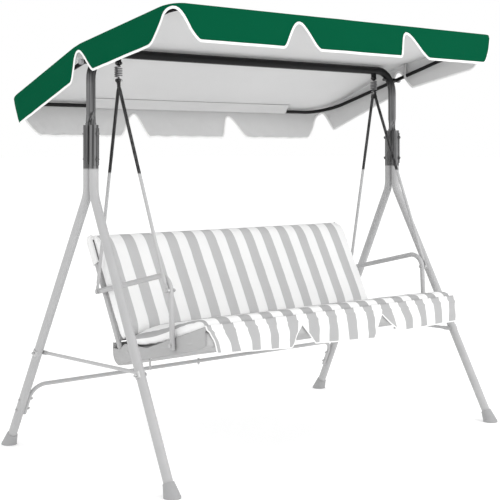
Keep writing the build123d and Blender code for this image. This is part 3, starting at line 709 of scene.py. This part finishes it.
def swell(made):
    """Let the cloth solver fill a closed shape, then keep each point within SWELL_CAP millimetres."""
    rest = [v.co.copy() for v in made.data.vertices]
    solver = made.modifiers.new("cloth", "CLOTH")
    settings = solver.settings
    settings.quality = 3
    settings.mass = 0.3
    settings.tension_stiffness = 25
    settings.compression_stiffness = 25
    settings.shear_stiffness = 10
    settings.bending_stiffness = 2
    settings.use_pressure = True
    settings.uniform_pressure_force = SWELL_PRESSURE
    settings.effector_weights.gravity = 0
    solver.point_cache.frame_start = 1
    solver.point_cache.frame_end = SWELL_FRAMES
    for step in range(1, SWELL_FRAMES + 1):
        scene.frame_set(step)
    apply_modifiers(made)
    for point, old in zip(made.data.vertices, rest):
        move = point.co - old
        if move.length > SWELL_CAP / 1000:
            move *= SWELL_CAP / 1000 / move.length
        point.co = old + move
    scene.frame_set(1)


def smooth_mesh(made, factor, repeat):
    """Relax a mesh."""
    relax = made.modifiers.new("smooth", "SMOOTH")
    relax.factor = factor
    relax.iterations = repeat
    apply_modifiers(made)


def cushion(name, outline, crease_seed, material):
    """A stuffed cushion with this (y, z) outline across the bench."""
    half, shrink = BENCH_HALF, CUSHION_SHRINK
    shape = resample(round_line(inset(outline, shrink), closed=True, passes=3), 7)[:-1]
    sides = len(shape)
    centre_y = sum(p[0] for p in shape) / sides
    centre_z = sum(p[1] for p in shape) / sides
    stations = [(-half + shrink, 0.975)]
    stations += [(x, 1.0) for x in spaced(-half + shrink + 4, half - shrink - 4, 14)]
    stations += [(half - shrink, 0.975)]
    body_points = []
    for x, share in stations:
        body_points += [(x, lerp(centre_y, y, share), lerp(centre_z, z, share)) for y, z in shape]
    body_faces = []
    for r in range(len(stations) - 1):
        a, b = r * sides, (r + 1) * sides
        body_faces += [(a + i, a + (i + 1) % sides, b + (i + 1) % sides, b + i) for i in range(sides)]
    body_faces.append(tuple(reversed(range(sides))))
    body_faces.append(tuple((len(stations) - 1) * sides + i for i in range(sides)))
    made = make_object(name, body_points, body_faces, [material])
    settle_faces(made, agree=True)
    remesh = made.modifiers.new("remesh", "REMESH")
    remesh.mode = "VOXEL"
    remesh.voxel_size = VOXEL
    apply_modifiers(made)
    swell(made)
    smooth_mesh(made, 0.5, 3)
    for point in made.data.vertices:
        x, y, z = point.co.x * 1000, point.co.y * 1000, point.co.z * 1000
        edge = smooth_step((half - abs(x)) / 60)
        wave = 1.6 * ripple(x, y, z, 75, crease_seed) + 0.8 * ripple(x, y, z, 30, crease_seed + 4)
        point.co += point.normal * (wave * (0.35 + 0.65 * edge) / 1000)
    made.data.materials.clear()
    made.data.materials.append(material)
    for face in made.data.polygons:
        face.use_smooth = True
    return made


CAP_X = 686


def cloth_coordinates(made, depth):
    """Store each point's place across the bench as the cloth's own coordinate, and mark the end caps.

    depth(y, z) says how far inside the white part of an end cap a point lies.
    """
    layer = made.data.uv_layers.new(name="cloth")
    places = []
    for point in made.data.vertices:
        x, y, z = point.co.x * 1000, point.co.y * 1000 - SET_BACK, point.co.z * 1000
        places.append((point.co.x, 1 + min(abs(x) - CAP_X, depth(y, z)) / 1000))
    for loop in made.data.loops:
        layer.data[loop.index].uv = places[loop.vertex_index]


def seat_top(y):
    """Height of the seat cushion's top at its two ends, and how far to the rear this is, from 0 to 1."""
    rear = smooth_step((y + 430) / 300)
    return 501 - 0.1804 * (y - 2) - END_DROOP * rear, rear


def seat_cap_depth(y, z):
    """Depth below the edge of the seat cushion's white end cap."""
    top, rear = seat_top(y)
    return top - z - (7 + 13 * rear)


def back_cap_depth(y, z):
    """The back cushion's ends are white all over."""
    return 20.0


def droop_ends(made):
    """Lower the top of the seat cushion towards its two ends, most at the rear."""
    for point in made.data.vertices:
        x, y, z = point.co.x * 1000, point.co.y * 1000 - SET_BACK, point.co.z * 1000
        top, rear = seat_top(y)
        low, high = 431 - 0.2137 * (y + 43), top + END_DROOP * rear
        end = smooth_step((abs(x) - 600) / 92)
        share = max(0.0, min(1.0, (z - low) / (high - low)))
        point.co.z -= END_DROOP * rear * end * share / 1000


CUSHION_LIFT = 13.4
END_DROOP = 24
seat_outline = [on_seat(44, CUSHION_LIFT), (8, 502), (-436, 581), (-463, 572), (-476, 545),
                on_seat(508, CUSHION_LIFT)]
back_outline = [on_back(40, 11), on_back(440, 11), on_back(476, 13), on_back(488, 30), on_back(477, 50),
                on_back(450, 65), on_back(404, 74), on_back(92, 80), on_back(62, 71), on_back(42, 50)]
seat = cushion("seat_cushion_pad", seat_outline, 1.3, seat_stripes)
back = cushion("back_cushion_pad", back_outline, 6.1, back_stripes)
droop_ends(seat)
for pad, node, depth in ((seat, "seat_cushion", seat_cap_depth), (back, "back_cushion", back_cap_depth)):
    cloth_coordinates(pad, depth)
    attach(pad, "seat")
    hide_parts(node)


# ---- skirt --------------------------------------------------------------------------------------
SKIRT_TOP = 562
SKIRT_Y = -478.5
NOTCH_Z = 524
NOTCH_X = 226
NOTCH_HALF = 62
FLAPS = (    # for each flap: its corners across the bench, and the hem's height and lean at both
    ((-BENCH_HALF, 459, 50), (-NOTCH_X - NOTCH_HALF, 441, 11)),
    ((-NOTCH_X + NOTCH_HALF, 445, 15), (NOTCH_X - NOTCH_HALF, 430, 27)),
    ((NOTCH_X + NOTCH_HALF, 444, 54), (BENCH_HALF, 453, 6)))


def skirt_edge(x):
    """Height of the skirt's hem here, and how far the cloth leans towards +X at the hem."""
    corners = [corner for flap in FLAPS for corner in flap]
    corners = corners[:2] + [(-NOTCH_X, NOTCH_Z, 5)] + corners[2:4] + [(NOTCH_X, NOTCH_Z, 2)] + corners[4:]
    for (a, low_a, lean_a), (b, low_b, lean_b) in zip(corners, corners[1:]):
        if a <= x <= b:
            share = (x - a) / (b - a)
            return lerp(low_a, low_b, share), lerp(lean_a, lean_b, share)
    return corners[-1][1:]


skirt_xs = spaced(-BENCH_HALF, BENCH_HALF, 4.5)
SKIRT_ROWS = 26
SKIRT_FULL = 116
skirt_points, skirt_rest = [], []
for x in skirt_xs:
    low, lean = skirt_edge(x)
    for row in range(SKIRT_ROWS + 1):
        fall = (SKIRT_TOP - low) * row / SKIRT_ROWS
        share = fall / SKIRT_FULL
        tuck = 6.0 * math.exp(-fall / 6.0)
        wave = 4.0 * math.sin(x / 17 + 0.6 * math.sin(x / 61)) * smooth_step(share * 1.4)
        wave += 3.2 * ripple(x, 0, fall, 55, 9.4) * smooth_step(share * 2.5)
        bend = smooth_step((fall - 15) / 11) - smooth_step((fall - 50) / 50)
        side = lean * smooth_step(share * 1.05) + (6 + 7 * ripple(x, 0, 0, 120, 4.4)) * bend
        side += 7 * ripple(x, 0, fall, 48, 14.2) * smooth_step(share * 3)
        ridge = 2.0 * math.exp(-((fall - 23) / 5) ** 2)
        skirt_points.append((x + side, SKIRT_Y + tuck - wave * 0.55 - 1.5 * share - ridge, SKIRT_TOP - fall))
        skirt_rest.append((x / 1000, fall / 1000))
skirt = make_object("seat_skirt_cloth", skirt_points, grid_faces(len(skirt_xs), SKIRT_ROWS + 1),
                    [seat_stripes])
layer = skirt.data.uv_layers.new(name="cloth")
for loop in skirt.data.loops:
    layer.data[loop.index].uv = skirt_rest[loop.vertex_index]
settle_faces(skirt, lambda found: sum(face.normal.y for face in found) > 0)
thicken(skirt, 1.4)
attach(skirt, "seat")
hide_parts("seat_skirt")

rows = SKIRT_ROWS + 1
edge_line = [skirt_points[i] for i in range(rows)]
edge_line += [skirt_points[c * rows + SKIRT_ROWS] for c in range(1, len(skirt_xs))]
edge_line += [skirt_points[(len(skirt_xs) - 1) * rows + i] for i in range(rows - 2, -1, -1)]
skirt_binding = cord_line("skirt_binding", [(x, y + 0.7, z) for x, y, z in resample(edge_line, 6)], 2.6,
                          [trim_cloth])
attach(skirt_binding, "seat")


# ---- slings, seat cover and ties ----------------------------------------------------------------
def cross_sheet(name, profile, half, thickness, material, seed, wave=0.8, step=16):
    """A sheet that follows this (y, z) profile across the bench."""
    line = resample(round_line(profile, passes=2), 9)
    stations = spaced(-half, half, step)
    made_points = []
    for x in stations:
        for y, z in line:
            lift = wave * ripple(x, y, z, 70, seed)
            made_points.append((x, y, z + lift))
    made = make_object(name, made_points, grid_faces(len(stations), len(line)), [material])
    thicken(made, thickness)
    return made, line_length(line)


back_sling, back_length = cross_sheet(
    "back_sling_cloth", [on_back(50, 12.4), on_back(260, 12.4), on_back(462, 12.4)], BENCH_HALF - 8, 1.4,
    sling_cloth, 3.0, wave=0.2)
seat_sling, seat_length = cross_sheet(
    "seat_sling_cloth", [on_seat(48, 12.2), on_seat(300, 12.2), on_seat(518, 12.2)], BENCH_HALF - 1, 1.4,
    sling_cloth, 5.0, wave=0.2)
for sling, node, length in ((back_sling, "back_sling", back_length), (seat_sling, "seat_sling", seat_length)):
    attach(sling, "seat")
    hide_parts(node)

hood_profile = resample(round_line([(464, 30), (482, 26), (489, 8), (487, -6), (478, -13.5), (440, -13.0),
                                    (372, -12.5)], passes=2), 7)
HOOD_BACK = 27
hood_stations = [(-BENCH_HALF, 1.0), (-BENCH_HALF - 0.4, 0.5)]
hood_stations += [(x, 0.0) for x in spaced(-BENCH_HALF - 0.4, BENCH_HALF + 0.4, 16)]
hood_stations += [(BENCH_HALF + 0.4, 0.5), (BENCH_HALF, 1.0)]
hood_points = [(x, *on_back(at, lerp(lift, HOOD_BACK, share))) for x, share in hood_stations
               for at, lift in hood_profile]
hood = make_object("back_cushion_hood", hood_points, grid_faces(len(hood_stations), len(hood_profile)),
                   [trim_cloth])
thicken(hood, 1.2, even=False)
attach(hood, "seat")

COVER_HALF = 697
cover_low = [(-472, 541), (-474.5, 500), (-470, 479), (-206, 415), (-104, 396), (-11, 371), (30, 356),
             (56, 359), (76, 380), (81, 408), (77, 440)]
low_line = resample(round_line(cover_low, passes=2), 9)


def tray_rim(y, z):
    """Height of the tray's side wall here, never less than a few millimetres above its floor."""
    rear = lerp(444, 419, smooth_step(y / 40))
    return max(z + 4, rear, 441 + 0.338 * (-125 - y))


def floor_faces_up(found):
    """Whether the middle of the tray's floor faces up."""
    return sum(face.normal.z for face in found if abs(face.calc_center_median().x) < 0.1) > 0


tray_points = []
WALL_ROWS = 12
stations = spaced(-COVER_HALF, COVER_HALF, 16)
for side in (-1, 1):
    wall = []
    for row in range(WALL_ROWS, 0, -1):
        for y, z in low_line:
            up = lerp(z, tray_rim(y, z), row / WALL_ROWS)
            bulge = -4.0 * abs(ripple(0, y / 4, up, 16, 8.0)) * math.sin(math.pi * row / WALL_ROWS)
            wall.append((side * (COVER_HALF - 0.8 + bulge), y, up))
    if side < 0:
        tray_points += wall
        for x in stations:
            for y, z in low_line:
                fade = smooth_step((COVER_HALF - abs(x)) / 25)
                tray_points.append((x, y, z - fade * (1.2 + 1.6 * ripple(x / 3, y, z, 34, 12.0))))
    else:
        count = len(low_line)
        rows_up = [wall[i:i + count] for i in range(0, len(wall), count)]
        for line_up in reversed(rows_up):
            tray_points += line_up
tray_rows = len(stations) + 2 * WALL_ROWS
tray = make_object("seat_cover_cloth", tray_points, grid_faces(tray_rows, len(low_line)), [sling_cloth])
settle_faces(tray, floor_faces_up)
thicken(tray, 1.2, even=False)
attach(tray, "seat")
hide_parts("seat_cover")


def ribbon(name, line, width_dir, width, thickness, material, body):
    """A flat strap along a line in millimetres, this wide along width_dir."""
    wide = Vector(width_dir).normalized()
    frames = []
    for i in range(len(line)):
        run = (Vector(line[min(i + 1, len(line) - 1)]) - Vector(line[max(i - 1, 0)])).normalized()
        frames.append((wide, run.cross(wide).normalized()))
    section = [(width / 2, thickness / 2), (0, thickness / 2 + 0.1), (-width / 2, thickness / 2),
               (-width / 2, -thickness / 2), (0, -thickness / 2 - 0.1), (width / 2, -thickness / 2)]
    made = sweep_section(name, line, section, frames, [material])
    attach(made, body)
    return made


for side_name, side in SIDES.items():
    x = side * 691
    end = 363 if side < 0 else 384
    hanging = [(x, -146, 402), (x + side * 0.8, -146.5, lerp(402, end, 0.3)), (x, -147, lerp(402, end, 0.6)),
               (x - side, -145, lerp(402, end, 0.9)), (x - side * 0.5, -146, end)]
    tie = ribbon(f"seat_tie_{side_name}", resample(round_line(hanging, passes=2), 2), (0, 1, 0), 11, 1.6,
                 webbing_pale, "seat")
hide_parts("seat_ties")
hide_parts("seat_ties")

TIE_Y = -51
arm_z = lerp(FRAME_FRONT[1], FRAME_REAR[1], (TIE_Y - FRAME_FRONT[0]) / (FRAME_REAR[0] - FRAME_FRONT[0]))
arm_run = Vector((0, 1, frame_slope)).normalized()
for side_name, side in SIDES.items():
    x = side * 880
    roof = roof_z(TIE_Y, x) - CLOTH_T - 0.5
    loop = [(x - 5, TIE_Y, roof), (x - 6, TIE_Y, arm_z + 26), (x - 9.4, TIE_Y, arm_z + 8)]
    loop += [(x - 9.4 * math.cos(a), TIE_Y, arm_z - 9.4 * math.sin(a))
             for a in [math.pi * i / 10 for i in range(11)]]
    loop += [(x + 9.4, TIE_Y, arm_z + 8), (x + 6, TIE_Y, arm_z + 26), (x + 5, TIE_Y, roof)]
    tie = ribbon(f"canopy_tie_{side_name}", resample(loop, 3), tuple(arm_run), 12, 1.4, webbing_pale,
                 "canopy")
    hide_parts("canopy_ties")


# ---- springs ------------------------------------------------------------------------------------
HANGER_X = 723
POST_Y = 9
SWING_Z = 1516
APEX_Z = 1450
COIL_R = 14
COIL_TOP = 1500
COIL_LOW = 1466
COIL_TURNS = 5
WIRE_R = 2
LOOP_R = 6.05
HOOK_POWER = 0.6      # how quickly a hook's end runs up to the coil


def spring_route():
    """Centreline of one spring: hook loop, coil and eye loop, about its own axis."""
    route = []
    for i in range(25):
        angle = math.radians(lerp(-48, 270, i / 24))
        route.append((0.0, LOOP_R * math.cos(angle), SWING_Z + LOOP_R * math.sin(angle)))
    high = SWING_Z - LOOP_R
    for i in range(1, 25):
        share = i / 24
        angle = math.radians(90 + 270 * share)
        reach = COIL_R * smooth_step(share)
        height = lerp(high, COIL_TOP, share ** HOOK_POWER)
        route.append((reach * math.cos(angle), reach * math.sin(angle), height))
    for i in range(1, COIL_TURNS * 28 + 1):
        share = i / (COIL_TURNS * 28)
        angle = 2 * math.pi * COIL_TURNS * share
        route.append((COIL_R * math.cos(angle), COIL_R * math.sin(angle), lerp(COIL_TOP, COIL_LOW, share)))
    low = APEX_Z + LOOP_R
    for i in range(1, 25):
        share = i / 24
        angle = math.radians(270 * share)
        reach = COIL_R * (1 - smooth_step(share))
        height = lerp(low, COIL_LOW, (1 - share) ** HOOK_POWER)
        route.append((reach * math.cos(angle), reach * math.sin(angle), height))
    for i in range(1, 25):
        angle = math.radians(lerp(90, 408, i / 24))
        route.append((0.0, LOOP_R * math.cos(angle), APEX_Z + LOOP_R * math.sin(angle)))
    return route


for side_name, side in SIDES.items():
    route = [(side * (HANGER_X + x), POST_Y + y, z) for x, y, z in spring_route()]
    wire = cord_line(f"spring_wire_{side_name}", route, WIRE_R, [spring_steel], count=10)
    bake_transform(wire)
    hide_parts(f"spring_{side_name}")


# ---- floor and end ------------------------------------------------------------------------------
bpy.ops.mesh.primitive_plane_add(size=400, location=(0, 0, -0.0005))
floor = bpy.context.object
floor.name = "floor"
floor_paint, _, floor_shader = new_material("floor_paint", (0.92, 0.92, 0.92), 1.0, specular=0.0)
floor_shader.inputs["Emission Color"].default_value = (1, 1, 1, 1)
floor_shader.inputs["Emission Strength"].default_value = 0.22
floor.data.materials.append(floor_paint)
